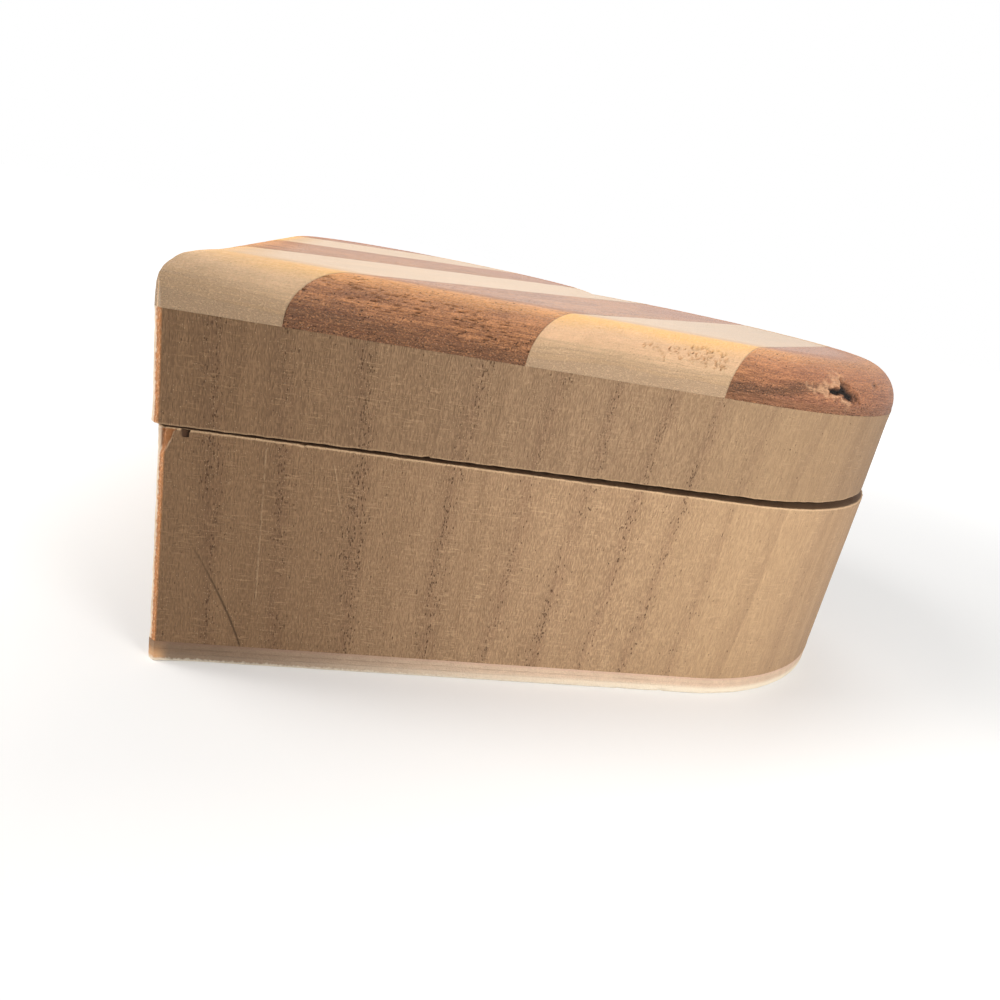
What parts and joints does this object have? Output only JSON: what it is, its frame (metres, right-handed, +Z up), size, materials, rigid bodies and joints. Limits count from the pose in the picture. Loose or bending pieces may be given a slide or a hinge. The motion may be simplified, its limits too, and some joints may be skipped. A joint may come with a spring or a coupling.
{
  "type": "trinket box",
  "caption": "Heart-shaped wooden trinket box with a hinged lid of pale and reddish strips with a rounded edge, on plain upright-grain walls.",
  "frame": {"origin": "bottom centre of the whole box, on the table", "axes": "+Z up, +X across the lobes, the tip points to -Y and the hinges are at +Y"},
  "size_m": [0.1294, 0.1226, 0.0537],
  "materials": {
    "wall_wood": "sanded, unfinished, upright grain",
    "bottom_wood": "sanded, unfinished",
    "pale_strip": "sanded, unfinished, pale",
    "red_strip": "sanded, unfinished, reddish brown",
    "hinge_brass": "satin",
    "screw_brass": "satin"
  },
  "bodies": {
    "base": {"base_wall": "wall_wood", "bottom_board": "bottom_wood", "left_base_leaf": "hinge_brass", "right_base_leaf": "hinge_brass", "left_hinge_pin": "hinge_brass", "right_hinge_pin": "hinge_brass", "base_screws": "screw_brass"},
    "lid": {"lid_frame": "wall_wood", "strip_left_edge": "red_strip", "strip_left_outer": "pale_strip", "strip_left_inner": "red_strip", "strip_middle": "pale_strip", "strip_right_inner": "red_strip", "strip_right_outer": "pale_strip", "strip_right_edge": "red_strip", "left_lid_leaf": "hinge_brass", "right_lid_leaf": "hinge_brass", "lid_screws": "screw_brass"}
  },
  "joints": [
    {"name": "lid_hinge", "type": "hinge", "parent": "base", "child": "lid", "pos_m": [0, 0.05999, 0.03283], "axis": [-1, 0, 0], "range_deg": [0, 180]}
  ]
}
